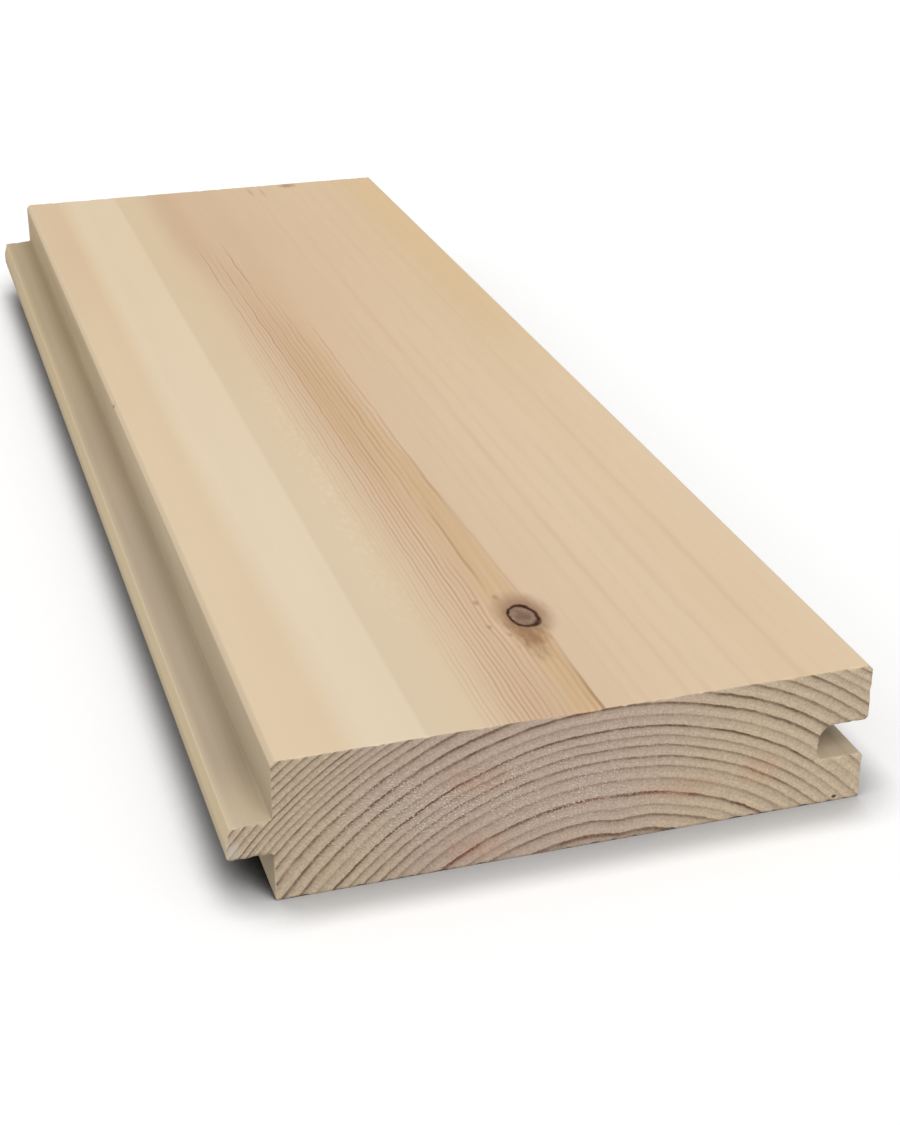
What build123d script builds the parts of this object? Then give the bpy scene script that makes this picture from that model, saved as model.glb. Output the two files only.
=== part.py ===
"""A tongue-and-groove pine floorboard: one planed length of solid wood.

The board lies on its underside with its face up. Its length runs along Y,
its tongue points to -X and its groove opens to +X. The origin is on the
floor, midway along the piece and midway across its full width.
"""

import os

from build123d import *

# Plank, in millimetres
length = 345.0  # from saw cut to saw cut
cover_width = 111.8  # width of face that one laid board covers
thickness = 28.0
face_chamfer = 0.9  # eased arris along both long edges of the face
foot_chamfer = 0.3  # eased arris along both long edges of the underside

# Tongue
wear_layer = 11.5  # wood above the tongue, where it leaves the shoulder
tongue_thickness = 6.8  # where it leaves the shoulder
tongue_reach = 8.2  # from the shoulder to the nose
tongue_fall = 0.4  # slope of the upper side, from the shoulder to the nose
nose_bevel_reach = 0.8  # lead-in bevel of the nose's upper corner, across the board
nose_bevel_depth = 3.0  # the same bevel, down the nose
nose_radius = 0.9  # rounded lower corner of the nose
root_radius = 0.5  # fillets where the tongue leaves the shoulder

# Groove
fit_clearance = 0.1  # above the next board's tongue, and again below it
nose_gap = 1.5  # from the next board's nose to the back of the groove
back_radius_upper = 3.0
back_radius_lower = 1.2
lower_lip_setback = 0.4  # the lower lips stay apart, so the faces close first

# Places across the board, along X
overall_width = cover_width + tongue_reach
nose_x = -overall_width / 2
shoulder_x = nose_x + tongue_reach
upper_lip_x = overall_width / 2
lower_lip_x = upper_lip_x - lower_lip_setback
groove_back_x = upper_lip_x - tongue_reach - nose_gap

# Heights above the underside, along Z
tongue_top_z = thickness - wear_layer
tongue_bottom_z = tongue_top_z - tongue_thickness
nose_top_z = tongue_top_z - tongue_fall
groove_top_z = tongue_top_z + fit_clearance
groove_floor_z = tongue_bottom_z - fit_clearance

# Eased arris of both lips, just wide enough to clear the next board's root fillets
mouth_chamfer = root_radius + fit_clearance


def corners_at(sketch, x, margin=0.001):
    """The sketch's corners at one place across the board, from the underside up."""
    found = sketch.vertices().filter_by_position(Axis.X, x - margin, x + margin)
    return found.sort_by(Axis.Y)


with BuildPart() as floorboard:
    # The section that the planer's cutters leave, seen from the near end
    with BuildSketch(Plane.XZ) as section:
        # Plank, from the tongue's shoulder to the lips of the groove
        with BuildLine() as plank_outline:
            Polyline(
                (shoulder_x, 0),
                (lower_lip_x, 0),
                (lower_lip_x, groove_floor_z),
                (upper_lip_x, groove_floor_z),
                (upper_lip_x, thickness),
                (shoulder_x, thickness),
                close=True,
            )
        make_face()

        # Groove, with a back that is rounder above than below
        with BuildLine() as groove_outline:
            FilletPolyline(
                (upper_lip_x, groove_top_z),
                (groove_back_x, groove_top_z),
                (groove_back_x, groove_floor_z),
                (upper_lip_x, groove_floor_z),
                radius=(back_radius_upper, back_radius_lower),
            )
            Line((upper_lip_x, groove_floor_z), (upper_lip_x, groove_top_z))
        make_face(mode=Mode.SUBTRACT)

        # Tongue, with a bevelled upper corner and a round lower one
        with BuildLine() as tongue_outline:
            FilletPolyline(
                (shoulder_x, tongue_top_z),
                (nose_x + nose_bevel_reach, nose_top_z),
                (nose_x, nose_top_z - nose_bevel_depth),
                (nose_x, tongue_bottom_z),
                (shoulder_x, tongue_bottom_z),
                radius=(0, 0, nose_radius),
            )
            Line((shoulder_x, tongue_bottom_z), (shoulder_x, tongue_top_z))
        make_face()

        # Eased corners, each side counted from the underside up
        fillet(corners_at(section, shoulder_x)[1:3], radius=root_radius)
        chamfer(corners_at(section, shoulder_x)[-1], length=face_chamfer)
        chamfer(corners_at(section, upper_lip_x)[-1], length=face_chamfer)
        chamfer(corners_at(section, shoulder_x)[0], length=foot_chamfer)
        chamfer(corners_at(section, lower_lip_x)[0], length=foot_chamfer)
        chamfer(corners_at(section, upper_lip_x)[0], length=mouth_chamfer)
        chamfer(corners_at(section, lower_lip_x)[-1], length=mouth_chamfer)

    extrude(amount=length / 2, both=True)

floorboard.part.label = "floorboard"

os.makedirs("parts", exist_ok=True)
export_step(floorboard.part, "parts/floorboard.step")
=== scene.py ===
import math

import bpy
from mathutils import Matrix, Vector, geometry, noise


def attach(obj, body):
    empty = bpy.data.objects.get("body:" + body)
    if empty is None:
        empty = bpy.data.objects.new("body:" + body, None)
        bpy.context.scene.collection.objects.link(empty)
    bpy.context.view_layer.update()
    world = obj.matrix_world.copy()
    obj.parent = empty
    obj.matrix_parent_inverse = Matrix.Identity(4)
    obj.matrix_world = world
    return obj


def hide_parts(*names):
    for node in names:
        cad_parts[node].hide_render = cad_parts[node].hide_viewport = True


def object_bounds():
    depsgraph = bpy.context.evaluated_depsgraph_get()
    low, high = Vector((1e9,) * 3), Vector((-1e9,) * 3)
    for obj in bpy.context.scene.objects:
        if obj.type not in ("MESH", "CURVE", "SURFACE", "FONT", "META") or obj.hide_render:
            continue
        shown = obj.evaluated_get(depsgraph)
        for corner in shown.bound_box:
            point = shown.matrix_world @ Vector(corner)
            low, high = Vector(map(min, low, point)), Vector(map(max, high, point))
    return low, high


mm = 0.001

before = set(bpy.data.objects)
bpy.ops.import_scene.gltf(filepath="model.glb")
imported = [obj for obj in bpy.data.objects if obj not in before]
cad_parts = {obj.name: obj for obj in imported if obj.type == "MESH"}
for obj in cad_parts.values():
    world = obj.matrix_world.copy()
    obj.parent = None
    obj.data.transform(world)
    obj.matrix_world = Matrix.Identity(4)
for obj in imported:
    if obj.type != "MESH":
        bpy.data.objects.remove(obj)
cadLow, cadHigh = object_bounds()
nearY = cadLow.y / mm  # sawn end that faces the camera
farY = cadHigh.y / mm
topZ = cadHigh.z / mm
print("frame loaded:", sorted(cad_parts))


# Camera

cameraLook = dict(
    place=(-107.85, -452.8, 204.59),  # mm
    azimuth=-17.33,  # degrees round from straight ahead
    elevation=26.16,  # degrees above the floor
    lens=64.15,
)


def makeCamera(look):
    data = bpy.data.cameras.new("photoCamera")
    data.lens = look["lens"]
    camera = bpy.data.objects.new("photoCamera", data)
    camera.location = Vector(look["place"]) * mm
    camera.rotation_euler = (
        math.radians(90 - look["elevation"]),
        0,
        math.radians(look["azimuth"]),
    )
    bpy.context.scene.collection.objects.link(camera)
    bpy.context.scene.camera = camera


makeCamera(cameraLook)
print("camera set")


# Node helpers. In the dictionaries further down, with lengths in mm:
# a fade is from and to, then the values before and after it where they aren't 0 and 1
# a band is from and to, then the blur of its edges
# a rate is how often a noise changes for each mm across, along and up

black = (0.0, 0.0, 0.0, 1.0)
white = (1.0, 1.0, 1.0, 1.0)
bench = dict(tree=None)  # the node tree being built


def addNode(kind):
    return bench["tree"].nodes.new(kind)


def feed(value, socket):
    if isinstance(value, bpy.types.NodeSocket):
        bench["tree"].links.new(value, socket)
    else:
        socket.default_value = value


def calc(operation, *values):
    node = addNode("ShaderNodeMath")
    node.operation = operation
    for value, socket in zip(values, node.inputs):
        feed(value, socket)
    return node.outputs[0]


def total(*values):
    result = values[0]
    for value in values[1:]:
        result = calc("ADD", result, value)
    return result


def product(*values):
    result = values[0]
    for value in values[1:]:
        result = calc("MULTIPLY", result, value)
    return result


def ease(value, low, high, start=0.0, end=1.0):  # smooth fade from start to end
    node = addNode("ShaderNodeMapRange")
    node.interpolation_type = "SMOOTHSTEP"
    for name, amount in (
        ("Value", value),
        ("From Min", low),
        ("From Max", high),
        ("To Min", start),
        ("To Max", end),
    ):
        feed(amount, node.inputs[name])
    return node.outputs["Result"]


def between(value, low, high, blur):  # band: 1 from low to high, with soft edges
    rise = ease(value, low - blur, low + blur)
    fall = ease(value, high - blur, high + blur, 1.0, 0.0)
    return product(rise, fall)


def within(value, limits):  # three limits are a band, two or four a fade
    return between(value, *limits) if len(limits) == 3 else ease(value, *limits)


def patch(look, **ways):  # 1 where a patch lies, by its limits across, along or up
    return product(*[within(value, look[way]) for way, value in ways.items()])


def bell(value, centre, half):  # 1 at the centre, dying away to either side
    share = calc("DIVIDE", calc("SUBTRACT", value, centre), half)
    return calc("EXPONENT", product(share, share, -1.0))


def grain(place, rate, detail=2.0):  # noise from 0 to 1
    stretch = addNode("ShaderNodeVectorMath")
    stretch.operation = "MULTIPLY"
    feed(place, stretch.inputs[0])
    stretch.inputs[1].default_value = rate
    node = addNode("ShaderNodeTexNoise")
    node.inputs["Scale"].default_value = 1.0
    node.inputs["Detail"].default_value = detail
    feed(stretch.outputs[0], node.inputs["Vector"])
    return node.outputs[0]


def swing(value, amount):  # noise made to swing either side of nothing
    return calc("MULTIPLY", calc("SUBTRACT", value, 0.5), amount)


def linear(red, green, blue):  # a screen colour as the shader needs it
    parts = []
    for part in (red / 255, green / 255, blue / 255):
        parts.append(part / 12.92 if part <= 0.04045 else ((part + 0.055) / 1.055) ** 2.4)
    return (*parts, 1.0)


def paint(amount, under, over, blend="MIX"):
    node = addNode("ShaderNodeMix")
    node.data_type = "RGBA"
    node.blend_type = blend
    sockets = (node.inputs[0], node.inputs[6], node.inputs[7])  # the ones for colours
    for value, socket in zip((amount, under, over), sockets):
        feed(value, socket)
    return node.outputs[2]


def axes(place):
    node = addNode("ShaderNodeSeparateXYZ")
    feed(place, node.inputs[0])
    return node.outputs[0], node.outputs[1], node.outputs[2]


def curve(value, points):  # drawn curve through points in the unit square
    node = addNode("ShaderNodeFloatCurve")
    line = node.mapping.curves[0]
    for x, y in points[1:-1]:
        line.points.new(x, y)
    line.points[0].location = points[0]
    line.points[-1].location = points[-1]
    for point in line.points:
        point.handle_type = "VECTOR"
    node.mapping.update()
    feed(value, node.inputs["Value"])
    return node.outputs[0]


def countLines(value, start, places, *strengths):
    span = places[-1] - start
    count = len(places)
    stops = [(0.0, 0.0)]
    for number, spot in enumerate(places, 1):
        stops.append(((spot - start) / span, number / count))
    share = calc("DIVIDE", calc("SUBTRACT", value, start), span)
    line = calc("MULTIPLY", curve(share, stops), count)
    nearest = calc("ROUND", line)
    results = [calc("SUBTRACT", line, nearest)]  # how far off the nearest line, below 0 before it
    for strength in strengths:  # and how strong that line is
        shades = [(0.0, 0.0)]
        for number, amount in enumerate(strength, 1):
            shades.append((number / count, amount))
        depth = curve(calc("DIVIDE", nearest, count), shades)
        results.append(calc("MAXIMUM", depth, 0.0))
    return results


def newGroup(name, *outputs):
    tree = bpy.data.node_groups.new(name, "ShaderNodeTree")
    bench["tree"] = tree
    tree.interface.new_socket("Place", in_out="INPUT", socket_type="NodeSocketVector")
    for output in outputs:
        tree.interface.new_socket(output, in_out="OUTPUT", socket_type="NodeSocketFloat")
    start = addNode("NodeGroupInput")
    end = addNode("NodeGroupOutput")
    return tree, start.outputs["Place"], end.inputs


def useGroup(group, place):
    node = addNode("ShaderNodeGroup")
    node.node_tree = group
    feed(place, node.inputs["Place"])
    return node.outputs


# Growth rings: round the pith, which lies under the board

rings = dict(
    pith=(9.0, -44.0),  # across and up, at the near end
    drift=(0.012, -0.006),  # how far the pith wanders for each mm along the board
    inside=42.0,  # radius where the counting starts
    radii=(46.2, 49.2, 51.2, 53.7, 56.5, 59.0, 61.0, 63.2, 65.1, 67.1, 69.3, 71.7, 74.2,
           76.9, 79.2, 81.5, 83.3, 85.0, 86.7, 88.2, 90.0, 92.0, 93.8, 95.6, 97.6, 100.0),
    dark=(0.9, 0.75, 0.35, 1.0, 0.45, 0.5, 0.75, 0.7, 0.5, 1.0, 0.35, 0.95, 0.9,
          0.8, 0.75, 0.9, 0.5, 0.6, 0.75, 0.85, 0.6, 0.8, 0.7, 0.8, 0.6, 0.7),
    wander=1.0,  # mm
    wanderRate=(0.06, 0.003, 0.06),
    ripple=0.3,
    rippleRate=(0.4, 0.012, 0.4),
    crowdFrom=78.0,  # radius from which the left half's rings crowd
    crowd=(-25.0, 25.0, 0.3, 0.0),  # how much, by mm across from the pith
    dip=(11.5, 4.2),  # dip in the inner rings: place across and half width
    dipDepth=0.9,
    dipFade=(47.0, 57.0, 1.0, 0.0),  # by radius
    fray=0.13,  # of a line's sides, as a share of the ring
    frayRate=(1.3, 0.02, 1.3),
    lineBody=(-0.45, 0.0, 0.0, 0.45),  # slow to darken on the pith side
    lineCore=(-0.2, -0.03, 0.0, 0.55),
    lineStop=(0.05, 0.14, 1.0, 0.0),  # quick to end on the bark side
    uneven=(0.25, 0.65, 0.6, 1.0),
    unevenRate=(0.25, 0.008, 0.25),
)


def makeGrowthRings(look):
    tree, place, end = newGroup("growthRings", "Latewood", "Season", "Radius")
    x, y, z = axes(place)
    along = calc("SUBTRACT", y, nearY)
    dx = total(x, -look["pith"][0], product(along, -look["drift"][0]))
    dz = total(z, -look["pith"][1], product(along, -look["drift"][1]))
    reach = calc("SQRT", total(product(dx, dx), product(dz, dz)))
    wander = swing(grain(place, look["wanderRate"], 1.0), look["wander"])
    ripple = swing(grain(place, look["rippleRate"]), look["ripple"])
    beyond = calc("MAXIMUM", calc("SUBTRACT", reach, look["crowdFrom"]), 0.0)
    slow = product(beyond, ease(dx, *look["crowd"]))
    dip = product(bell(x, *look["dip"]), look["dipDepth"], ease(reach, *look["dipFade"]))
    radius = total(reach, wander, ripple, slow, dip)
    season, depth = countLines(radius, look["inside"], look["radii"], look["dark"])
    frayed = total(season, swing(grain(place, look["frayRate"]), look["fray"]))
    line = total(ease(frayed, *look["lineBody"]), ease(frayed, *look["lineCore"]))
    line = product(line, ease(frayed, *look["lineStop"]))
    uneven = ease(grain(place, look["unevenRate"]), *look["uneven"])
    feed(product(line, depth, uneven), end["Latewood"])
    feed(season, end["Season"])
    feed(radius, end["Radius"])
    return tree


growthRings = makeGrowthRings(rings)
print("rings ready")


# Fibre: coarse and fine streaks along the grain

fibre = dict(
    streakRate=(1.6, 0.018, 1.6),
    hairRate=(7.0, 0.09, 7.0),
)


def makeWoodFibre(look):
    tree, place, end = newGroup("woodFibre", "Streak", "Hair")
    feed(grain(place, look["streakRate"], 3.0), end["Streak"])
    feed(grain(place, look["hairRate"], 1.0), end["Hair"])
    return tree


woodFibre = makeWoodFibre(fibre)
print("fibre ready")


# Materials

bareWood = dict(specular=0.2)  # unvarnished, so it hardly shines


def newMaterial(name, look):
    material = bpy.data.materials.new(name)
    material.use_nodes = True
    bench["tree"] = material.node_tree
    shader = material.node_tree.nodes["Principled BSDF"]
    shader.inputs["Roughness"].default_value = look["rough"]
    shader.inputs["Specular IOR Level"].default_value = bareWood["specular"]
    where = addNode("ShaderNodeTexCoord")
    scale = addNode("ShaderNodeVectorMath")
    scale.operation = "SCALE"
    scale.inputs["Scale"].default_value = 1 / mm
    feed(where.outputs["Object"], scale.inputs[0])
    return material, shader, scale.outputs[0]


def emboss(shader, look, **layers):  # depth in mm, and the share of it that each layer has
    height = total(*[product(value, look[name]) for name, value in layers.items()])
    node = addNode("ShaderNodeBump")
    node.inputs["Strength"].default_value = 1.0
    node.inputs["Distance"].default_value = look["depth"] * mm
    feed(height, node.inputs["Height"])
    feed(node.outputs[0], shader.inputs["Normal"])


def shade(colour, amount, tone):  # lets a tone darken the colour under it
    return paint(amount, colour, linear(*tone), "MULTIPLY")


def cover(colour, amount, tone):  # lays a tone over it
    return paint(amount, colour, linear(*tone))


def vary(colour, value, amount):  # lighter and darker with a noise
    factor = total(swing(value, amount), 1.0)
    node = addNode("ShaderNodeVectorMath")
    node.operation = "SCALE"
    feed(colour, node.inputs[0])
    feed(factor, node.inputs["Scale"])
    return node.outputs[0]


def ovalDistance(x, y, centre, half):  # 1 on the rim of an oval
    u = calc("DIVIDE", calc("SUBTRACT", x, centre[0]), half[0])
    v = calc("DIVIDE", calc("SUBTRACT", y, centre[1]), half[1])
    return calc("SQRT", total(product(u, u), product(v, v)))


# Sawn ends: rings, rays and torn fibre

endLook = dict(
    rough=0.85,
    heart=(213, 188, 168),  # pinkish, round the middle
    outer=(219, 197, 168),  # tan, to the left and right
    heartX=-6.0,
    heartFade=(8.0, 42.0),  # by mm to either side
    heartStray=40.0,  # mm
    heartRate=(0.05, 0.05, 0.05),
    yearShade=0.1,  # how the wood varies through each year
    sideShade=0.11,  # how much paler the right is than the left
    sideFade=(-40.0, 55.0),
    rayShade=0.2,
    rayRate=(170.0, 0.3),  # for each radian round the pith and each mm out from it
    poreShade=0.65,
    poreRate=(2.6, 2.6, 2.6),
    line=(106, 71, 46),
    lineDepth=0.95,
    lipLoss=-0.45,  # lines are fainter on the lips, most of all the lower one
    lips=dict(across=(46.0, 54.0), up=(6.0, 11.0, 1.0, 0.45)),
    rust=(146, 82, 62),
    rustRing=53.7,  # radius of the reddest ring
    rustFade=(0.0, 3.2, 1.0, 0.0),  # by mm from it
    rustPatch=(0.42, 0.62, 0.1, 0.8),
    rustRate=(0.07, 0.07, 0.07),
    blush=(253, 244, 240),  # tint of the red patches
    blushes=(  # centre and half size of each, across and up
        ((-16.0, 3.5), (7.0, 3.4)),
        ((-15.0, 17.5), (9.0, 4.0)),
        ((23.0, 8.5), (10.0, 3.0)),
        ((39.0, 9.5), (5.0, 4.0)),
    ),
    blushFade=(0.2, 1.2, 1.0, 0.0),
    blushRust=0.7,  # how red the lines are there
    torn=(242, 231, 215),
    tornSpeck=(0.51, 0.65),
    tornRate=(2.5, 2.5, 3.1),
    tornArea=(0.34, 0.56),
    tornAreaRate=(0.09, 0.09, 0.09),
    tornMiddle=dict(across=(-38.0, 14.0, 14.0), up=(6.0, 22.0, 5.0)),
    tornAmount=(0.75, 0.15),  # in that middle, and everywhere
    frayed=((-59.4, 11.4), (2.2, 2.6)),  # pale torn nose of the tongue: centre and half size
    frayedFade=(0.4, 1.2, 0.45, 0.0),
    frayedStray=2.4,
    pit=((54.5, 0.9), (0.6, 0.45)),  # painted shade of a small hole in the lower lip: centre and half size
    pitFade=(0.5, 1.1, 0.9, 0.0),
    pitShadeTone=(70, 48, 34),
    nearOnly=(0.0, 1.0, 1.0, 0.0),
    relief=dict(depth=0.1, lines=0.3, torn=0.6, pores=0.4, rays=0.25),
)


def makeSawnEnd(look):
    material, shader, place = newMaterial("sawnEnd", look)
    x, y, z = axes(place)
    ringMask = useGroup(growthRings, place)
    nearOnly = ease(y, *look["nearOnly"])
    # pink in the middle, tan outside, in soft blotches
    stray = swing(grain(place, look["heartRate"]), look["heartStray"])
    aside = calc("ABSOLUTE", total(x, -look["heartX"], stray))
    tan = ease(aside, *look["heartFade"])
    colour = paint(tan, linear(*look["heart"]), linear(*look["outer"]))
    colour = vary(colour, ease(ringMask["Season"], -0.5, 0.5), look["yearShade"])
    colour = vary(colour, ease(x, *look["sideFade"]), look["sideShade"])
    # fine pores, and rays from the pith
    dx = calc("SUBTRACT", x, rings["pith"][0])
    dz = calc("SUBTRACT", z, rings["pith"][1])
    ray = addNode("ShaderNodeCombineXYZ")
    feed(product(calc("ARCTAN2", dx, dz), look["rayRate"][0]), ray.inputs[0])
    feed(product(ringMask["Radius"], look["rayRate"][1]), ray.inputs[1])
    rays = grain(ray.outputs[0], (1.0, 1.0, 1.0), 1.0)
    colour = vary(colour, rays, look["rayShade"])
    pores = grain(place, look["poreRate"])
    colour = vary(colour, pores, look["poreShade"])
    blush = 0.0
    for centre, half in look["blushes"]:
        spot = ease(ovalDistance(x, z, centre, half), *look["blushFade"])
        blush = calc("MAXIMUM", blush, spot)
    colour = shade(colour, blush, look["blush"])
    # rings, the reddest one in patches
    off = calc("ABSOLUTE", calc("SUBTRACT", ringMask["Radius"], look["rustRing"]))
    patchy = ease(grain(place, look["rustRate"]), *look["rustPatch"])
    rust = product(ease(off, *look["rustFade"]), patchy)
    red = calc("MAXIMUM", rust, product(blush, look["blushRust"]))
    line = paint(red, linear(*look["line"]), linear(*look["rust"]))
    lips = patch(look["lips"], across=x, up=z)
    depth = total(product(lips, look["lipLoss"]), look["lineDepth"])
    colour = paint(product(ringMask["Latewood"], depth), colour, line)
    # torn fibre
    speck = ease(grain(place, look["tornRate"]), *look["tornSpeck"])
    area = ease(grain(place, look["tornAreaRate"]), *look["tornArea"])
    middle = patch(look["tornMiddle"], across=x, up=z)
    most, least = look["tornAmount"]
    torn = product(speck, total(product(middle, area, most), least))
    frayed = ovalDistance(x, z, *look["frayed"])
    frayed = total(frayed, swing(pores, look["frayedStray"]))
    frayed = product(ease(frayed, *look["frayedFade"]), nearOnly)
    torn = calc("MAXIMUM", torn, frayed)
    colour = cover(colour, torn, look["torn"])
    # painted shade of that small hole, at the near end only
    pit = ease(ovalDistance(x, z, *look["pit"]), *look["pitFade"])
    colour = cover(colour, product(pit, nearOnly), look["pitShadeTone"])
    feed(colour, shader.inputs["Base Color"])
    emboss(shader, look["relief"], lines=ringMask["Latewood"], torn=torn, pores=pores, rays=rays)
    return material


# Planed face: broad stripes, fine dark lines, one brown streak and one knot

faceLook = dict(
    rough=0.62,
    stripes=(  # mm across the board, then the colour there
        (-52.0, (223, 201, 169)),
        (-42.0, (222, 199, 167)),
        (-37.0, (227, 208, 180)),
        (-24.6, (227, 208, 179)),
        (-24.2, (219, 199, 168)),
        (-15.0, (219, 197, 166)),
        (-11.0, (215, 190, 159)),
        (-5.0, (210, 181, 149)),
        (-2.5, (208, 179, 147)),
        (1.0, (211, 183, 151)),
        (3.0, (212, 184, 152)),
        (9.0, (216, 190, 159)),
        (20.0, (218, 193, 162)),
        (35.0, (221, 196, 165)),
        (46.0, (219, 194, 161)),
        (58.0, (222, 198, 166)),
    ),
    wander=0.4,  # mm, how far the stripes stray from straight
    wanderRate=(0.03, 0.005, 0.03),
    slant=dict(across=(-43.0, -31.0, 4.0), along=(nearY, 0.0, -2.2, 1.0)),  # cream stripe's left side
    farTone=(249, 246, 240),  # what is left of white at the far end
    farFade=(-110.0, 120.0),
    plain=(208, 180, 147),  # where the lines have run out
    plainAt=dict(across=(-6.0, 7.0, 3.0), along=(45.0, 110.0)),
    tints=(  # what is left of white
        # mauve patch by the far end
        dict(tone=(248, 244, 242), across=(-16.0, -8.0, 3.0), along=(70.0, 120.0)),
        # far end of the left strip
        dict(tone=(251, 249, 249), across=(-44.0, -40.0, 1.0, 0.0), along=(20.0, 120.0)),
        # yellower right-hand edge
        dict(tone=(253, 250, 240), across=(44.0, 54.0), along=(-30.0, 50.0)),
        # near end of the lines
        dict(tone=(249, 247, 245), across=(-10.0, 3.5, 2.5), along=(nearY, -135.0, 1.0, 0.0)),
    ),
    brown=(248, 242, 232),  # darker middle of the line zone
    brownAt=dict(across=(-5.5, 4.5, 3.0), along=(-70.0, 30.0, 35.0)),
    brownUneven=(0.3, 0.65, 0.4, 1.3),
    uneven=(-16.0, 0.0, 0.02, 0.024),  # fibre, quieter on the left
    bands=2.2,  # times that
    bandRate=(0.2, 0.004, 0.2),
    mottle=0.035,
    mottleRate=(0.12, 0.03, 0.12),
    hair=0.01,
    flecks=(-2.0, 14.0, 0.0, 0.045),  # on the right
    fleckRate=(0.9, 0.1, 0.9),
    zone=(-10.0, 3.5, 2.5),  # band across where the fine lines lie
    zoneStreak=0.14,
    curl=(234, 218, 190),  # pale flecks beside the lines
    curlFade=(0.5, 0.68, 0.0, 0.24),
    curlRate=(1.1, 0.35, 1.1),
    curlAt=dict(across=(-18.5, -12.5, 2.5), along=(-130.0, 0.0, 22.0)),
    stain=(150, 102, 68),
    stainFade=(0.3, 1.3),
    stainStray=1.5,
    stains=(  # centre, half size and strength of each, by the far end
        ((31.5, 170.4), (2.8, 2.8), 0.6),
        ((21.8, 164.5), (0.7, 6.0), 0.22),
        ((18.2, 166.0), (0.7, 5.0), 0.26),
    ),
    relief=dict(depth=0.07, streak=0.05, hair=0.05, lines=0.3, curl=0.6, bark=-1.0),
)

lineRun = dict(  # how all the lines run
    waveRate=(0.2, 0.006, 0.2),
    rippleRate=(0.1, 0.07, 0.1),
    strayRate=(0.5, 0.1, 0.5),
    gapRate=(0.6, 0.016, 0.6),
    gapTo=(0.62, 0.2, 1.0),  # end of the gaps' fade, what is left in them, and the full line
    farFade=(-30.0, 70.0),  # along, from the near end's strengths to the far end's
    gapFade=(0.0, 60.0),
    edgeFade=(0.0, 80.0),
    sharp=0.02,  # share of a line that is darkest
    apart=(0.3, 0.46),  # where the paler wood between the lines shows
)

fineLines = dict(
    start=-16.0,  # mm across
    at=(-14.6, -13.6, -12.5, -11.4, -10.3, -9.4, -8.4, -7.6, -6.7, -5.7, -4.8, -3.8, -2.8, -1.7, -0.6,
        0.8, 2.0, 3.6, 5.2, 6.6, 8.4),
    dark=(0.0, 0.2, 0.35, 0.45, 0.4, 0.7, 0.5, 0.75, 0.6, 0.95, 0.65, 1.0, 0.7, 0.9, 0.7,
          0.6, 0.9, 0.4, 0.4, 0.7, 0.0),
    far=(0.0, 0.0, 0.1, 0.1, 0.2, 0.8, 0.1, 0.5, 0.2, 1.0, 0.3, 0.3, 0.1, 0.9, 0.2,
         0.5, 0.3, 0.1, 0.2, 0.5, 0.0),  # the same lines at the far end
    gaps=(0.33, 0.42),  # how readily the lines break off, at the near and far end
    wave=0.9,  # mm
    ripple=0.9,
    stray=0.5,  # mm, each line on its own
    edge=(0.3, 0.46),  # how wide a line is at the near and far end, as a share of the gap
    colour=(168, 124, 90),
    depth=0.55,
    pale=0.16,  # of the wood between them
    stop=(-1.0, 4.0, 112.0, 42.0),  # how far along they run, by mm across
    stopFade=(-22.0, 12.0, 1.0, 0.0),
    beside=dict(across=(0.0, 1.0), along=(-142.0, -98.0, 12.0)),  # on the brown streak beyond the knot
    besideLoss=-0.8,
)

faintLines = dict(
    start=8.0,
    at=(10.5, 13.0, 16.0, 19.0, 24.0, 28.0, 31.5, 35.5, 41.0, 46.0, 50.0, 55.0, 60.0),
    dark=(0.0, 0.3, 0.7, 0.6, 1.0, 0.6, 0.3, 0.7, 0.4, 0.8, 0.3, 0.2, 0.0),
    far=(0.0, 0.3, 0.4, 0.4, 0.6, 0.4, 0.3, 0.5, 0.3, 0.5, 0.3, 0.2, 0.0),
    gaps=(0.33, 0.36),
    wave=1.6,
    ripple=0.7,
    stray=0.5,
    edge=(0.3, 0.3),
    colour=(190, 148, 108),
    depth=0.17,
)

streak = dict(
    start=4.7,  # mm across, at the near end
    lean=-0.004,  # mm for each mm along
    half=(-105.0, -30.0, 3.1, 1.0),  # half width, by mm along
    ripple=0.9,
    colour=(203, 170, 128),
    depth=0.8,
    leftBlur=(-145.0, -120.0, -1.4, -4.5),  # by mm along: its left side is vaguer beyond the knot
    leftEnd=1.4,
    rightBlur=(-150.0, -120.0, 0.6, 1.6),
    fade=(-75.0, 5.0, 1.0, 0.0),
    uneven=(0.3, 0.65, 0.5, 1.0),
    unevenRate=(0.9, 0.015, 0.9),
    edge=(132, 92, 58),
    borderRise=(-0.8, -0.1),  # dark border on the right
    borderFall=(0.0, 0.4, 1.0, 0.0),
    borderAlong=(-168.0, -150.0, 0.6, 0.16),  # strong at the near end
    thread=(0.1, 0.5, 0.32, 0.0),  # one wavy line on the left, beyond the knot
    threadIn=-0.7,
    threadAlong=(-118.0, -84.0, 8.0),
)

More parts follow.
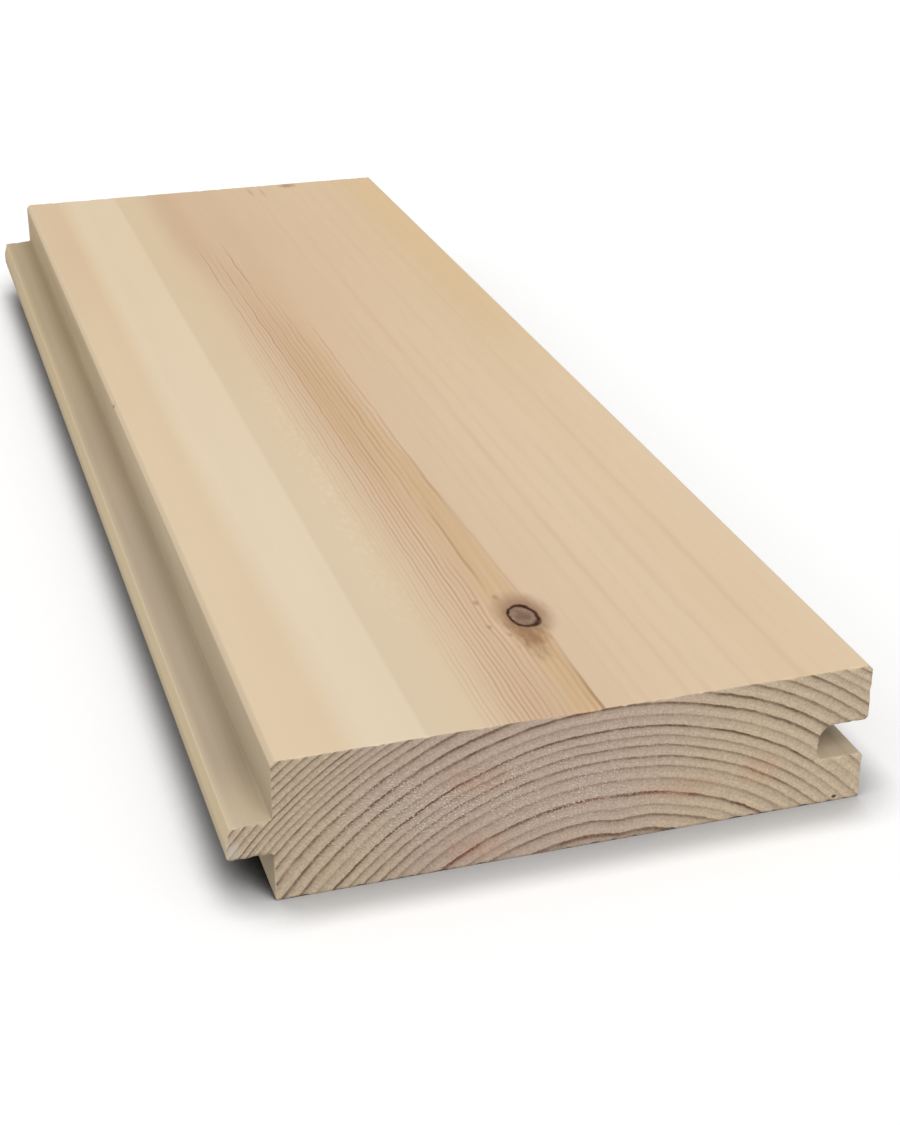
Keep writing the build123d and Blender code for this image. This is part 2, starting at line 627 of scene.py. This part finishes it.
knot = dict(
    centre=(5.6, -135.5),
    half=(2.75, 4.4),
    sink=0.1,  # mm that it lies under the face
    sinkFade=(1.25, 0.6),  # where its slope starts, and how wide that is, as shares of the half size
    push=-1.4,  # mm that the grain swerves beside it
    pushAlong=2.2,  # how far along, as a share of the half length
    pushFade=-0.16,  # for each mm aside
    pushTurn=1.2,
    shake=0.34,  # unevenness of its rim
    shakeRate=(0.5, 0.5, 0.5),
    mottleRate=(0.8, 0.5, 0.8),
    ragged=1.6,  # of the marks round it
    raggedRate=(0.9, 0.3, 0.9),
    corner=((1.7, -3.2), (1.5, 2.4)),  # blunter near right: from the centre, and half size
    cornerFade=(0.0, 1.3, 0.1, 0.0),
    smudges=(
        dict(  # halo, wider to the right and away from the camera
            at=(0.3, 0.6), half=(2.75, 4.4), ragged=0.3, fade=(0.9, 2.5, 0.95, 0.0), tone=(158, 125, 98),
        ),
        dict(  # broken grain on the near side
            at=(-1.3, -7.0), half=(3.4, 10.0), ragged=0.8, fade=(0.1, 1.25, 0.95, 0.0), tone=(152, 114, 80),
        ),
    ),
    flecks=((-6.9, 7.5), (-2.6, 8.9), (-7.4, -2.5), (-4.7, -6.5)),  # small ones, from the centre
    fleck=dict(half=(0.5, 0.9), ragged=1.0, fade=(0.3, 1.6, 0.5, 0.0), tone=(152, 114, 80)),
    core=(144, 116, 96),
    coreFade=(0.9, 1.02, 1.0, 0.0),
    coreMottle=1.2,
    pith=(106, 79, 60),
    pithFade=(0.1, 0.75, 0.6, 0.0),
    year=(120, 90, 70),  # its own small rings
    yearRate=30.0,
    yearFade=(0.2, 1.0, 0.0, 0.2),
    rim=(56, 27, 2),
    rimAt=0.95,
    rimThick=(0.145, 0.11),  # usual and least
    rimLean=(0.012, -0.004),  # thicker for each mm to the right and towards the camera
    rimFade=(0.2, 1.45, 1.0, 0.0),
    rimMottle=(0.3, 0.6, 0.82, 1.0),
)


def stripeRamp(across, stripes):
    node = addNode("ShaderNodeValToRGB")
    first, last = stripes[0][0], stripes[-1][0]
    ramp = node.color_ramp
    ramp.elements[0].color = linear(*stripes[0][1])
    ramp.elements[1].color = linear(*stripes[-1][1])
    for x, colour in stripes[1:-1]:
        ramp.elements.new((x - first) / (last - first)).color = linear(*colour)
    share = calc("DIVIDE", calc("SUBTRACT", across, first), last - first)
    feed(share, node.inputs[0])
    return node.outputs[0]


def knotSwerve(x, y, look):  # how far the grain is pushed aside by the knot
    aside = calc("SUBTRACT", x, look["centre"][0])
    nearby = bell(y, look["centre"][1], look["pushAlong"] * look["half"][1])
    fading = calc("EXPONENT", product(calc("ABSOLUTE", aside), look["pushFade"]))
    side = calc("TANH", product(aside, look["pushTurn"]))
    return product(nearby, fading, side, look["push"])


def darkLines(place, across, y, look, run):  # the lines, and the wood between them
    wave = swing(grain(place, run["waveRate"], 1.0), look["wave"])
    ripple = swing(grain(place, run["rippleRate"], 1.0), look["ripple"])
    stray = swing(grain(place, run["strayRate"], 1.0), look["stray"])
    spot = total(across, wave, ripple, stray)
    off, near, far = countLines(spot, look["start"], look["at"], look["dark"], look["far"])
    distant = ease(y, *run["farFade"])
    depth = total(near, product(distant, calc("SUBTRACT", far, near)))
    gapFrom = ease(y, *run["gapFade"], *look["gaps"])
    unbroken = ease(grain(place, run["gapRate"], 1.0), gapFrom, *run["gapTo"])
    shown = product(depth, unbroken)
    aside = calc("ABSOLUTE", off)
    edge = ease(y, *run["edgeFade"], *look["edge"])
    line = product(ease(aside, run["sharp"], edge, 1.0, 0.0), shown)
    return line, product(ease(aside, *run["apart"]), shown)


def fadeLines(across, y, look):  # where the fine lines run out
    past = calc("SUBTRACT", y, ease(across, *look["stop"]))
    beside = patch(look["beside"], across=across, along=y)
    loss = total(product(beside, look["besideLoss"]), 1.0)
    return product(ease(past, *look["stopFade"]), loss)


def brownStreak(place, across, y, colour, look):
    middle = total(look["start"], product(calc("SUBTRACT", y, nearY), look["lean"]))
    half = ease(y, *look["half"])
    ripple = swing(grain(place, lineRun["rippleRate"], 1.0), look["ripple"])
    aside = total(calc("SUBTRACT", across, middle), ripple)
    fromRight = calc("SUBTRACT", aside, half)
    fromLeft = total(aside, half)
    blur = ease(y, *look["rightBlur"])
    stop = ease(fromRight, calc("MULTIPLY", blur, -1.0), blur, 1.0, 0.0)
    band = product(ease(fromLeft, ease(y, *look["leftBlur"]), look["leftEnd"]), stop)
    fade = ease(y, *look["fade"])
    uneven = ease(grain(place, look["unevenRate"]), *look["uneven"])
    colour = cover(colour, product(band, fade, uneven, look["depth"]), look["colour"])
    border = ease(fromRight, *look["borderRise"])
    border = product(border, ease(fromRight, *look["borderFall"]))
    border = product(border, fade, ease(y, *look["borderAlong"]))
    thread = ease(calc("ABSOLUTE", total(fromLeft, look["threadIn"])), *look["thread"])
    thread = product(thread, between(y, *look["threadAlong"]))
    return cover(colour, calc("MAXIMUM", border, thread), look["edge"])


def smudge(x, y, ragged, colour, centre, look):  # soft mark with a ragged rim
    spot = ovalDistance(x, y, centre, look["half"])
    spot = total(spot, product(ragged, look["ragged"]))
    return cover(colour, ease(spot, *look["fade"]), look["tone"])


def knotLayers(place, x, y, colour, look):
    centre = Vector(look["centre"])
    shake = swing(grain(place, look["shakeRate"]), look["shake"])
    mottle = grain(place, look["mottleRate"])
    ragged = swing(grain(place, look["raggedRate"]), look["ragged"])
    cornerAt, cornerHalf = look["corner"]
    corner = ovalDistance(x, y, centre + Vector(cornerAt), cornerHalf)
    corner = ease(corner, *look["cornerFade"])
    rim = calc("SUBTRACT", ovalDistance(x, y, centre, look["half"]), corner)
    rim = total(rim, shake)
    # round it
    for mark in look["smudges"]:
        colour = smudge(x, y, ragged, colour, centre + Vector(mark["at"]), mark)
    for at in look["flecks"]:
        colour = smudge(x, y, ragged, colour, centre + Vector(at), look["fleck"])
    # core with its own small rings
    core = ease(rim, *look["coreFade"])
    years = calc("SINE", product(total(rim, shake), look["yearRate"]))
    colour = cover(colour, core, look["core"])
    colour = cover(colour, ease(rim, *look["pithFade"]), look["pith"])
    colour = shade(colour, product(core, ease(years, *look["yearFade"])), look["year"])
    colour = vary(colour, mottle, product(core, look["coreMottle"]))
    # dark rim, thicker on the near right
    usual, least = look["rimThick"]
    leanX = product(calc("SUBTRACT", x, centre.x), look["rimLean"][0])
    leanY = product(calc("SUBTRACT", y, centre.y), look["rimLean"][1])
    thick = calc("MAXIMUM", total(leanX, leanY, corner, usual), least)
    off = calc("ABSOLUTE", calc("SUBTRACT", rim, look["rimAt"]))
    bark = ease(calc("DIVIDE", off, thick), *look["rimFade"])
    bark = product(bark, ease(mottle, *look["rimMottle"]))
    colour = cover(colour, bark, look["rim"])
    return colour, bark


def makePlanedFace(look):
    material, shader, place = newMaterial("planedFace", look)
    x, y = axes(place)[:2]
    wander = swing(grain(place, look["wanderRate"]), look["wander"])
    across = total(x, wander, knotSwerve(x, y, knot))
    wood = useGroup(woodFibre, place)
    # broad tones
    slant = patch(look["slant"], across=x, along=y)
    colour = stripeRamp(total(across, slant), look["stripes"])
    colour = shade(colour, ease(y, *look["farFade"]), look["farTone"])
    plain = patch(look["plainAt"], across=across, along=y)
    colour = cover(colour, plain, look["plain"])
    for tint in look["tints"]:
        colour = shade(colour, patch(tint, across=across, along=y), tint["tone"])
    brown = patch(look["brownAt"], across=across, along=y)
    brown = product(brown, ease(wood["Streak"], *look["brownUneven"]))
    colour = shade(colour, brown, look["brown"])
    # fibre
    uneven = ease(x, *look["uneven"])
    colour = vary(colour, grain(place, look["mottleRate"], 3.0), look["mottle"])
    colour = vary(colour, grain(place, look["bandRate"]), product(uneven, look["bands"]))
    colour = vary(colour, wood["Streak"], uneven)
    colour = vary(colour, wood["Hair"], look["hair"])
    colour = vary(colour, grain(place, look["fleckRate"]), ease(x, *look["flecks"]))
    faint = darkLines(place, across, y, faintLines, lineRun)[0]
    faint = product(faint, faintLines["depth"])
    colour = cover(colour, faint, faintLines["colour"])
    shown = fadeLines(across, y, fineLines)
    zone = product(between(across, *look["zone"]), shown)
    colour = vary(colour, wood["Streak"], product(zone, look["zoneStreak"]))
    # pale curls beside the line zone
    curl = ease(grain(place, look["curlRate"]), *look["curlFade"])
    curl = product(curl, patch(look["curlAt"], across=x, along=y))
    colour = cover(colour, curl, look["curl"])
    # streak, fine lines, knot and far stains
    colour = brownStreak(place, across, y, colour, streak)
    thin, apart = darkLines(place, across, y, fineLines, lineRun)
    thin = product(thin, shown)
    colour = cover(colour, product(apart, shown, fineLines["pale"]), look["curl"])
    colour = cover(colour, product(thin, fineLines["depth"]), fineLines["colour"])
    colour, bark = knotLayers(place, x, y, colour, knot)
    stray = swing(wood["Streak"], look["stainStray"])
    for centre, half, strength in look["stains"]:
        mark = total(ovalDistance(x, y, centre, half), stray)
        mark = ease(mark, *look["stainFade"], strength, 0.0)
        colour = cover(colour, mark, look["stain"])
    feed(colour, shader.inputs["Base Color"])
    feed(ease(bark, 0.0, 1.0, look["rough"], 1.0), shader.inputs["Roughness"])
    emboss(
        shader, look["relief"],
        streak=wood["Streak"], hair=wood["Hair"], lines=thin, curl=curl, bark=bark,
    )
    return material


# Profiled edges: shoulder, tongue, groove, arrises and underside

edgeLook = dict(
    rough=0.66,
    pale=(215, 197, 168),
    deep=(212, 194, 164),
    toneFade=(0.25, 0.75),
    hair=0.02,
    line=(182, 148, 112),
    depth=0.03,  # of the ring lines
    under=(0.2, 1.0, 0.55, 0.0),  # more of it on the underside, by height
    grooved=(0.0, 40.0, 0.0, 0.3),  # and on the groove's side, by mm across
    blotch=0.35,
    blotchTop=-0.2,  # less on the tongue's top
    blotchRate=(0.04, 0.016, 0.1),
    footShade=0.34,  # painted shade: how much darker the shoulder is at its foot than under its arris
    footShadeFrom=(16.6, 16.9),  # heights
    footShadeRise=(16.0, 27.5),
    farTone=(254, 250, 238),  # what is left of white at the far end
    farFade=(-100.0, 120.0),
    arris=(220, 198, 166),
    arrisUp=(topZ - 1.4, topZ - 0.8),
    top=dict(across=(-51.9, -51.6, 1.0, 0.0), up=(16.0, 16.9, 0.1)),  # of the tongue
    tongueShadeAlong=(nearY, nearY + 24.0, 0.45, 1.0),  # less painted shade by the near end
    tongue=(214, 213, 217),  # what is left of white there, as painted shade on the tongue's top
    tongueShadeAcross=(-59.8, -57.2, 0.45, 1.0),
    root=(239, 237, 233),  # painted shade again in its corner
    rootShadeAcross=(-57.0, -52.5),
    # painted light on the tongue's nose bevel
    nose=(238, 216, 177),
    noseAcross=(-59.15, -58.9, 1.0, 0.0),
    noseUp=(10.4, 11.6),
    noseTop=(15.95, 16.15, 1.0, 0.0),
    away=(246, 243, 241),  # left of white on the far half of the nose and the upper shoulder
    awayUp=(21.5, 26.4, 1.0),
    awayAlong=(-80.0, 90.0),
    groove=(226, 224, 224),  # and inside the groove, as painted shade
    grooveShadeAt=dict(across=(49.0, 50.0), up=(9.2, 17.0, 0.3)),
    dent=((-3.0, 26.5), (1.0, 0.7)),  # torn spot under the left arris: along and up, half size
    dentFade=(0.4, 1.1, 0.8, 0.0),
    dentAcross=(-51.0, -50.0, 1.0, 0.0),
    torn=(110, 84, 60),
    relief=dict(depth=0.07, streak=0.06, hair=0.05, lines=0.05),
)


def makePlanedEdge(look):
    material, shader, place = newMaterial("planedEdge", look)
    x, y, z = axes(place)
    wood = useGroup(woodFibre, place)
    ringMask = useGroup(growthRings, place)
    tone = ease(wood["Streak"], *look["toneFade"])
    colour = paint(tone, linear(*look["deep"]), linear(*look["pale"]))
    colour = vary(colour, wood["Hair"], look["hair"])
    depth = total(ease(z, *look["under"]), ease(x, *look["grooved"]), look["depth"])
    colour = cover(colour, product(ringMask["Latewood"], depth), look["line"])
    # soft blotches, and painted shade at the shoulder's foot
    top = patch(look["top"], across=x, up=z)
    blotch = grain(place, look["blotchRate"])
    colour = vary(colour, blotch, total(product(top, look["blotchTop"]), look["blotch"]))
    shoulderShadeRamp = product(ease(z, *look["footShadeRise"]), ease(z, *look["footShadeFrom"]))
    below = ease(z, *look["footShadeFrom"], 0.5, 0.0)  # half is no change
    colour = vary(colour, total(shoulderShadeRamp, below), look["footShade"])
    colour = shade(colour, ease(y, *look["farFade"]), look["farTone"])
    colour = cover(colour, ease(z, *look["arrisUp"]), look["arris"])
    # tongue: painted shade on top and in its corner, painted light on its nose
    tongueShade = product(top, ease(y, *look["tongueShadeAlong"]))
    colour = shade(colour, product(tongueShade, ease(x, *look["tongueShadeAcross"])), look["tongue"])
    colour = shade(colour, product(tongueShade, ease(x, *look["rootShadeAcross"])), look["root"])
    # painted light on the nose bevel
    nose = product(ease(z, *look["noseUp"]), ease(z, *look["noseTop"]))
    nose = product(nose, ease(x, *look["noseAcross"]))
    colour = cover(colour, nose, look["nose"])
    away = calc("MAXIMUM", nose, between(z, *look["awayUp"]))
    colour = shade(colour, product(away, ease(y, *look["awayAlong"])), look["away"])
    # painted shade inside the groove
    inside = patch(look["grooveShadeAt"], across=x, up=z)
    colour = shade(colour, inside, look["groove"])
    # torn spot
    spot = ease(ovalDistance(y, z, *look["dent"]), *look["dentFade"])
    spot = product(spot, ease(x, *look["dentAcross"]))
    colour = cover(colour, spot, look["torn"])
    feed(colour, shader.inputs["Base Color"])
    emboss(
        shader, look["relief"],
        streak=wood["Streak"], hair=wood["Hair"], lines=ringMask["Latewood"],
    )
    return material


materials = [makePlanedFace(faceLook), makePlanedEdge(edgeLook), makeSawnEnd(endLook)]
faceSlot, edgeSlot, endSlot = range(3)
print("materials ready")


# Board mesh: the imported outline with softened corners, sawn ends, a torn spot and a sunken knot

boardShape = dict(
    node="floorboard",
    soften=0.22,  # mm cut back at each corner of the section
    outlineStep=0.8,
    alongStep=6.0,
    fineStep=0.7,  # along the knot and the torn spot
    fineReach=1.4,  # how far past the knot's centre, as a share of its half length
    endGrid=0.6,
    sawRound=0.07,  # mm, least edge that the saw leaves round
    chip=1.3,  # mm, most that is chipped off it
    chipRate=0.55,  # chips for each mm of edge
    chipAlong=1.6,  # how much further a chip runs along the board than across
    sawWave=0.07,  # mm, waviness of the sawn ends
    near=dict(y=nearY, inward=1, sawSeed=1.0, chipSeed=3.0),
    far=dict(y=farY, inward=-1, sawSeed=7.0, chipSeed=11.0),
    tornAt=(-51.8, -3.0, 26.6),
    tornReach=1.4,
    tornDepth=0.45,
    tornWay=(0.8, -0.6),  # across and up
)

bakeBands = dict(  # each side's share of the baked picture's height
    face=0.43,
    groove=0.105,
    under=0.165,
    tongue=0.105,
    ends=0.135,
    gap=0.008,
)

quarterRound = ((1.0, 0.0), (0.293, 0.293), (0.0, 1.0))  # share of the round, across and along


def cadOutline(node):  # the near end's rim, in order, in mm
    edges = set()
    for polygon in node.data.polygons:
        corners = [node.data.vertices[i].co / mm for i in polygon.vertices]
        if all(abs(corner.y - nearY) < 1e-3 for corner in corners):
            flat = [(round(corner.x, 4), round(corner.z, 4)) for corner in corners]
            for a, b in pairs(flat):
                if (b, a) in edges:
                    edges.remove((b, a))  # an inner edge, which its neighbour runs the other way
                else:
                    edges.add((a, b))
    following = dict(edges)
    points = [min(following)]
    while following[points[-1]] != points[0]:
        points.append(following[points[-1]])
    return [Vector(point) for point in points]


def pairs(items):  # each item with the next, round to the first again
    return zip(items, items[1:] + items[:1])


def threes(items):  # each item between the one before and the one after
    return zip(items[-1:] + items[:-1], items, items[1:] + items[:1])


def softOutline(points, look):
    soft = []
    for before, corner, after in threes(points):
        inLength = (corner - before).length
        outLength = (after - corner).length
        cut = min(look["soften"], 0.45 * inLength, 0.45 * outLength)
        a = corner.lerp(before, cut / inLength)
        b = corner.lerp(after, cut / outLength)
        for t in (0.0, 1 / 3, 2 / 3, 1.0):
            soft.append(a.lerp(corner, t).lerp(corner.lerp(b, t), t))
    filled = []
    for a, b in pairs(soft):
        parts = max(1, math.ceil((b - a).length / look["outlineStep"]))
        filled += [a.lerp(b, part / parts) for part in range(parts)]
    if sum(a.cross(b) for a, b in pairs(filled)) < 0:
        filled.reverse()  # so that it runs from tongue to groove along the underside
    return filled


def sideOf(a, b):  # which side of the board a piece of the outline belongs to
    middle = (a + b) / 2
    if middle.y > topZ - 0.95:
        return "face"
    if middle.y < 0.35:
        return "under"
    return "tongue" if middle.x < 0 else "groove"


def bakeRows(outline, bands):  # each piece of outline's start and end height in the baked picture
    sides = [sideOf(a, b) for a, b in pairs(outline)]
    lengths = [(b - a).length for a, b in pairs(outline)]
    low = bands["gap"]
    starts = {}
    for side in ("face", "groove", "under", "tongue", "ends"):
        starts[side] = low
        low += bands[side] + bands["gap"]
    first = next(i for i in range(len(sides)) if sides[i] != sides[i - 1])
    rows = [None] * len(sides)
    done = dict.fromkeys(starts, 0.0)
    for step in range(len(sides)):
        i = (first + step) % len(sides)
        side = sides[i]
        scale = bands[side] / sum(length for length, s in zip(lengths, sides) if s == side)
        rows[i] = (
            starts[side] + done[side] * scale,
            starts[side] + (done[side] + lengths[i]) * scale,
        )
        done[side] += lengths[i]
    return rows, starts["ends"]


def alongBoard(look):  # places along the board, closer together where there is relief
    fine = []
    for middle, reach in (
        (knot["centre"][1], look["fineReach"] * knot["half"][1]),
        (look["tornAt"][1], look["tornReach"]),
    ):
        fine.append((middle - reach, middle + reach))
    places = []
    y = nearY + look["alongStep"] / 2
    while y < farY - look["alongStep"] / 2:
        places.append(y)
        inside = any(low <= y < high for low, high in fine)
        ahead = [low for low, high in fine if y < low]
        y = min([y + (look["fineStep"] if inside else look["alongStep"])] + ahead)
    return places


def chippedEdge(outline, seed, look):  # how round the sawn edge is at each point
    sizes = []
    for before, point, after in threes(outline):
        room = 0.45 * min((point - before).length, (after - point).length)
        chance = noise.noise(Vector((point.x, point.y, seed)) * look["chipRate"])
        fuzz = noise.noise(Vector((point.x, point.y, seed + 50.0)) * 3.1)
        size = look["sawRound"] + look["chip"] * max(0.0, chance + 0.6 * fuzz - 0.15)
        sizes.append(min(size, max(room, look["sawRound"] * 0.6)))
    return sizes


def sawnPoint(x, z, end, look, inset=0.0):  # on the wavy sawn end, or that far in from it
    wave = noise.noise(Vector((0.05 * x + 0.4 * z, 0.02 * x, end["sawSeed"])))
    rough = noise.noise(Vector((0.5 * x, 0.5 * z, end["sawSeed"] + 9.0)))
    depth = look["sawWave"] * (0.5 + 0.35 * wave + 0.15 * rough)
    return x, end["y"] + end["inward"] * (depth + inset), z


def endRounds(outline, inward, end, look):  # rings of points from the sawn end to the full outline
    sizes = chippedEdge(outline, end["chipSeed"], look)
    rounds = []
    for across, along in quarterRound:
        points = []
        for point, normal, size in zip(outline, inward, sizes):
            spot = point + normal * (across * size)
            points.append(sawnPoint(spot.x, spot.y, end, look, look["chipAlong"] * along * size))
        rounds.append(points)
    return rounds


def settle(x, y, z, look):  # sinks the knot and tears out the spot under the left arris
    away = (Vector((x, y, z)) - Vector(look["tornAt"])).length / look["tornReach"]
    if away < 1:
        pull = look["tornDepth"] * (1 - away * away) ** 2
        x, z = x + look["tornWay"][0] * pull, z + look["tornWay"][1] * pull
    dx = (x - knot["centre"][0]) / knot["half"][0]
    dy = (y - knot["centre"][1]) / knot["half"][1]
    if z > topZ - 0.01:
        rim, slope = knot["sinkFade"]
        inside = min(1.0, max(0.0, (rim - math.hypot(dx, dy)) / slope))
        z -= knot["sink"] * inside * inside * (3 - 2 * inside)
    return x, y, z


def endPoints(rim, step):  # a staggered grid inside the rim
    inside = []
    lowX = min(point.x for point in rim)
    z = min(point.y for point in rim)
    highZ = max(point.y for point in rim)
    row = 0
    while z < highZ:
        crossings = sorted(
            a.x + (z - a.y) * (b.x - a.x) / (b.y - a.y) for a, b in pairs(rim) if (a.y > z) != (b.y > z)
        )
        for left, right in zip(crossings[::2], crossings[1::2]):
            x = lowX + (0.5 * (row % 2)) * step
            while x < right - 0.5 * step:
                if x > left + 0.5 * step:
                    inside.append(Vector((x, z)))
                x += step
        z += 0.866 * step  # rows of even triangles
        row += 1
    margin = (0.45 * step) ** 2
    return [point for point in inside if all((point - spot).length_squared > margin for spot in rim)]


def makeBoard(look):
    outline = softOutline(cadOutline(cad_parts[look["node"]]), look)
    count = len(outline)
    inward = []
    for before, _, after in threes(outline):
        run = (after - before).normalized()
        inward.append(Vector((-run.y, run.x)))
    rows, endsLow = bakeRows(outline, bakeBands)
    faces, slots, layout = [], [], []

    # rings of points: a chipped round at each end, and plain sides between
    ringList = endRounds(outline, inward, look["near"], look)
    for y in alongBoard(look):
        ringList.append([settle(point.x, y, point.y, look) for point in outline])
    ringList += reversed(endRounds(outline, inward, look["far"], look))
    lastRing = len(ringList) - 1
    places = [place for ring in ringList for place in ring]

    # sides
    gap = bakeBands["gap"]
    for ring in range(lastRing):
        low, high = ring * count, (ring + 1) * count
        for i in range(count):
            j = (i + 1) % count
            corners = (low + i, high + i, high + j, low + j)
            faces.append(corners)
            isFace = outline[i].y > topZ - 1e-3 and outline[j].y > topZ - 1e-3
            slots.append(faceSlot if isFace else edgeSlot)
            for corner, v in zip(corners, (rows[i][0], rows[i][0], rows[i][1], rows[i][1])):
                share = (places[corner][1] - nearY) / (farY - nearY)
                layout.append((gap + share * (1 - 2 * gap), v))

    # sawn ends
    halfWide = 0.5 - 1.5 * gap
    for ring, end, leftU in ((0, look["near"], gap), (lastRing, look["far"], 0.5 + 0.5 * gap)):
        isNear = ring == 0
        rim = [Vector((x, z)) for x, y, z in ringList[ring]]
        border = [(i, (i + 1) % count) for i in range(count)]
        made = geometry.delaunay_2d_cdt(rim + endPoints(rim, look["endGrid"]), border, [], 1, 1e-5)
        spots, triangles, sources = made[0], made[2], made[3]
        index = []
        for spot, origin in zip(spots, sources):
            onRim = [source for source in origin if source < count]
            if onRim:
                index.append(ring * count + onRim[0])
            else:
                index.append(len(places))
                places.append(sawnPoint(spot.x, spot.y, end, look))
        for triangle in triangles:
            a, b, c = [spots[t] for t in triangle]
            order = list(triangle)
            if ((b - a).cross(c - a) > 0) != isNear:
                order.reverse()
            faces.append([index[t] for t in order])
            slots.append(endSlot)
            for t in order:
                share = (spots[t].x * mm - cadLow.x) / (cadHigh.x - cadLow.x)
                layout.append((leftU + share * halfWide, endsLow + spots[t].y / topZ * bakeBands["ends"]))

    mesh = bpy.data.meshes.new("boardMesh")
    mesh.from_pydata([Vector(place) * mm for place in places], [], faces)
    for material in materials:
        mesh.materials.append(material)
    mesh.polygons.foreach_set("material_index", slots)
    mesh.polygons.foreach_set("use_smooth", [True] * len(faces))
    uvMap = mesh.uv_layers.new(name="OFBake")
    uvMap.data.foreach_set("uv", [value for spot in layout for value in spot])
    mesh.update()
    board = bpy.data.objects.new("pineBoard", mesh)
    bpy.context.scene.collection.objects.link(board)
    flats = board.modifiers.new("flats", "WEIGHTED_NORMAL")
    flats.keep_sharp = False
    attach(board, "root")
    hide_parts(look["node"])
    print("board:", len(places), "points", len(faces), "faces")


makeBoard(boardShape)


# Studio

studio = dict(
    floor=6.0,  # metres
    floorBounce=0.12,  # how pale the floor is for light that goes on to the board
    floorLift=0.05,  # whitens it for the camera alone
    contactShadow=0.011,  # metres, reach of the painted contact shadow round the board
    contactShadowLeast=0.5,  # how dark that painted shadow gets
    recessShadow=0.03,  # metres, reach of the painted shadow under the tongue
    recessShadowFade=(0.24, 0.53),
    sky=0.56,
    key=dict(strength=1.52, angle=34.0, towards=(0.05, -0.72, 0.95)),  # angle across, in degrees
    fill=dict(strength=0.4, angle=70.0, towards=(-0.9, -0.3, 0.4)),
)


def seenDirectly():  # 1 for the camera, and for reflections and glass
    path = addNode("ShaderNodeLightPath")
    seen = calc("MAXIMUM", path.outputs["Is Camera Ray"], path.outputs["Is Glossy Ray"])
    return calc("MAXIMUM", seen, path.outputs["Is Transmission Ray"])


def openness(reach):  # 1 in the open, less where something stands close by
    node = addNode("ShaderNodeAmbientOcclusion")
    node.samples = 12
    node.inputs["Distance"].default_value = reach
    return node.outputs["AO"]


def makeFloor(look):
    half = look["floor"] / 2
    corners = [(-half, -half, 0), (half, -half, 0), (half, half, 0), (-half, half, 0)]
    mesh = bpy.data.meshes.new("floorMesh")
    mesh.from_pydata(corners, [], [(0, 1, 2, 3)])
    floor = bpy.data.objects.new("studioFloor", mesh)
    bpy.context.scene.collection.objects.link(floor)
    material = bpy.data.materials.new("paleFloor")
    material.use_nodes = True
    bench["tree"] = material.node_tree
    shader = material.node_tree.nodes["Principled BSDF"]
    # painted contact shadow round the board and painted shadow under the tongue, from the floor's own
    # occlusion
    contactShadow = calc("POWER", openness(look["contactShadow"]), 2.0)
    contactShadow = calc("MAXIMUM", contactShadow, look["contactShadowLeast"])
    recessShadow = ease(openness(look["recessShadow"]), *look["recessShadowFade"])
    pale = paint(product(contactShadow, recessShadow), black, white)
    bounce = (look["floorBounce"],) * 3 + (1.0,)
    seen = seenDirectly()
    feed(paint(seen, bounce, pale), shader.inputs["Base Color"])
    feed(paint(seen, black, pale), shader.inputs["Emission Color"])
    shader.inputs["Emission Strength"].default_value = look["floorLift"]
    shader.inputs["Roughness"].default_value = 1.0
    shader.inputs["Specular IOR Level"].default_value = 0.0
    mesh.materials.append(material)


def makeLamp(name, look):
    data = bpy.data.lights.new(name, "SUN")
    data.energy = look["strength"]
    data.angle = math.radians(look["angle"])
    lamp = bpy.data.objects.new(name, data)
    lamp.rotation_euler = Vector(look["towards"]).to_track_quat("Z", "Y").to_euler()
    bpy.context.scene.collection.objects.link(lamp)


def makeSky(look):
    world = bpy.data.worlds.new("studio")
    bpy.context.scene.world = world
    world.use_nodes = True
    bench["tree"] = world.node_tree
    background = world.node_tree.nodes["Background"]
    background.inputs["Color"].default_value = white
    extra = product(seenDirectly(), 1.0 - look["sky"])
    feed(total(extra, look["sky"]), background.inputs["Strength"])


makeFloor(studio)
makeSky(studio)
makeLamp("softKey", studio["key"])
makeLamp("leftFill", studio["fill"])
bpy.context.scene.view_settings.view_transform = "Standard"
print("studio ready")
